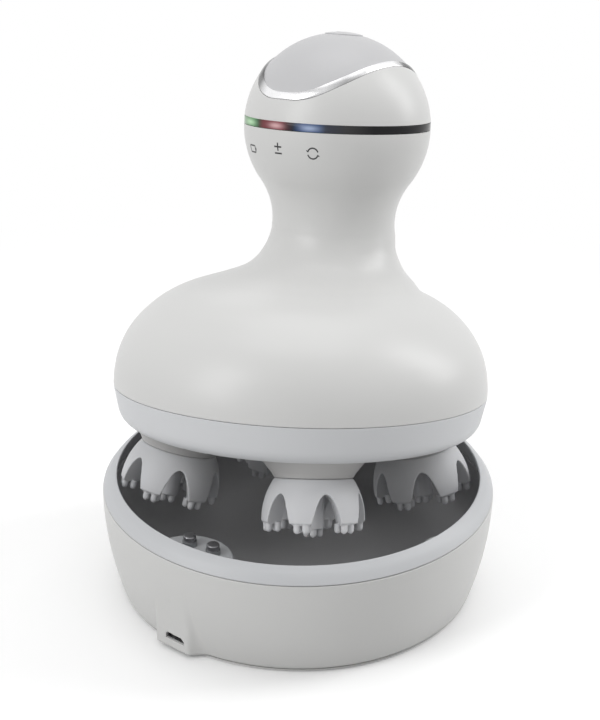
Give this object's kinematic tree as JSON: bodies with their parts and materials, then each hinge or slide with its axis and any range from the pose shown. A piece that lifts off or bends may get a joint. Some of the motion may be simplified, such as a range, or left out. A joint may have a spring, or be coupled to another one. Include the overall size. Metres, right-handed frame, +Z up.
{
  "type": "scalp massager with charging dock",
  "caption": "Handheld scalp and body massager with soft fingered kneading heads, standing tilted in the mouth of its round charging dock.",
  "frame": {"origin": "centre of the dock's underside, on the soft pad's lower face", "axes": "+Z up, -Y towards the front, where the charging socket and the pins are"},
  "size_m": [0.1215, 0.1244, 0.1635],
  "materials": {
    "dock_white": "moulded, fine satin gloss",
    "body_white": "moulded, soft gloss",
    "rim_grey": "moulded, satin",
    "ring_grey": "moulded, satin",
    "well_dark": "moulded, fine matte",
    "pad_rubber": "matte",
    "circuit_green": "solder mask over glass fibre",
    "plated_steel": "zinc plated",
    "barrel_grey": "nickel plated, satin",
    "pin_metal": "nickel plated, turned",
    "cover_white": "moulded, satin",
    "contact_gold": "plated",
    "collar_cream": "moulded, satin",
    "bush_bronze": "sintered",
    "frame_grey": "moulded, glass filled",
    "motor_can": "drawn can",
    "gear_nylon": "natural, moulded",
    "hub_white": "moulded",
    "head_silicone": "soft silicone, matte",
    "cell_wrap": "shrink wrap",
    "led_clear": "clear diffused",
    "band_black": "smoked, translucent",
    "trim_chrome": "bright plated",
    "panel_silver": "painted, satin",
    "button_silver": "painted, satin",
    "switch_black": "moulded"
  },
  "bodies": {
    "dock": {"dock_shell": "dock_white", "dock_rim": "rim_grey", "dock_well": "well_dark", "dock_base": "dock_white", "foot_pad": "pad_rubber", "dock_board": "circuit_green", "usb_socket": "plated_steel", "pin_barrels": "barrel_grey", "base_screws": "plated_steel"},
    "massager": {"body_housing": "body_white", "lower_ring": "ring_grey", "underside_cover": "cover_white", "charge_contacts": "contact_gold", "cover_screws": "plated_steel", "head_collar_1": "collar_cream", "head_collar_2": "collar_cream", "head_collar_3": "collar_cream", "head_collar_4": "collar_cream", "shaft_bushes": "bush_bronze", "drive_deck": "frame_grey", "drive_motor": "motor_can", "battery_cell": "cell_wrap", "battery_holder": "frame_grey", "control_board": "circuit_green", "status_leds": "led_clear", "light_band": "band_black", "ball_cap": "body_white", "chrome_trim": "trim_chrome", "top_panel": "panel_silver", "switch_riser": "frame_grey", "button_switch": "switch_black"},
    "drive": {"motor_shaft": "plated_steel", "sun_gear": "gear_nylon"},
    "head_1": {"planet_gear_1": "gear_nylon", "head_shaft_1": "plated_steel", "head_hub_1": "hub_white", "massage_head_1": "head_silicone"},
    "head_2": {"planet_gear_2": "gear_nylon", "head_shaft_2": "plated_steel", "head_hub_2": "hub_white", "massage_head_2": "head_silicone"},
    "head_3": {"planet_gear_3": "gear_nylon", "head_shaft_3": "plated_steel", "head_hub_3": "hub_white", "massage_head_3": "head_silicone"},
    "head_4": {"planet_gear_4": "gear_nylon", "head_shaft_4": "plated_steel", "head_hub_4": "hub_white", "massage_head_4": "head_silicone"},
    "power_button": {"power_button": "button_silver"},
    "charge_pin_left": {"charge_pin_left": "pin_metal"},
    "charge_pin_right": {"charge_pin_right": "pin_metal"}
  },
  "joints": [
    {"name": "massager_lift", "type": "slide", "parent": "dock", "child": "massager", "axis": [0, 0, 1], "range_m": [0, 0.1]},
    {"name": "head_spin_1", "type": "hinge", "parent": "massager", "child": "head_1", "pos_m": [0.02846, -0.02795, 0.03891], "axis": [-0.289, 0.3511, 0.8906], "continuous": true},
    {"name": "head_spin_2", "type": "hinge", "parent": "massager", "child": "head_2", "pos_m": [0.0284, 0.02723, 0.02647], "axis": [-0.2887, 0.0643, 0.9553], "continuous": true},
    {"name": "head_spin_3", "type": "hinge", "parent": "massager", "child": "head_3", "pos_m": [-0.02755, 0.02535, 0.01839], "axis": [0.0022, 0.0741, 0.9972], "continuous": true},
    {"name": "head_spin_4", "type": "hinge", "parent": "massager", "child": "head_4", "pos_m": [-0.02749, -0.02983, 0.03083], "axis": [0.0019, 0.3609, 0.9326], "continuous": true},
    {"name": "drive_spin", "type": "hinge", "parent": "massager", "child": "drive", "pos_m": [-0.0046, 0.0062, 0.06194], "axis": [-0.1466, 0.2174, 0.965], "continuous": true},
    {"name": "power_button_press", "type": "slide", "parent": "massager", "child": "power_button", "axis": [0.1455, -0.2692, -0.952], "range_m": [0, 0.0006], "stiffness_N_per_m": 600, "springref_m": -0.0008},
    {"name": "charge_pin_left_press", "type": "slide", "parent": "dock", "child": "charge_pin_left", "axis": [0, 0, -1], "range_m": [0, 0.0012], "stiffness_N_per_m": 400, "springref_m": -0.0005},
    {"name": "charge_pin_right_press", "type": "slide", "parent": "dock", "child": "charge_pin_right", "axis": [0, 0, -1], "range_m": [0, 0.0012], "stiffness_N_per_m": 400, "springref_m": -0.0005}
  ],
  "couplings": [
    {"joint": "head_spin_2", "follows": "head_spin_1", "ratio": 1},
    {"joint": "head_spin_3", "follows": "head_spin_1", "ratio": 1},
    {"joint": "head_spin_4", "follows": "head_spin_1", "ratio": 1},
    {"joint": "drive_spin", "follows": "head_spin_1", "ratio": -0.83333}
  ]
}
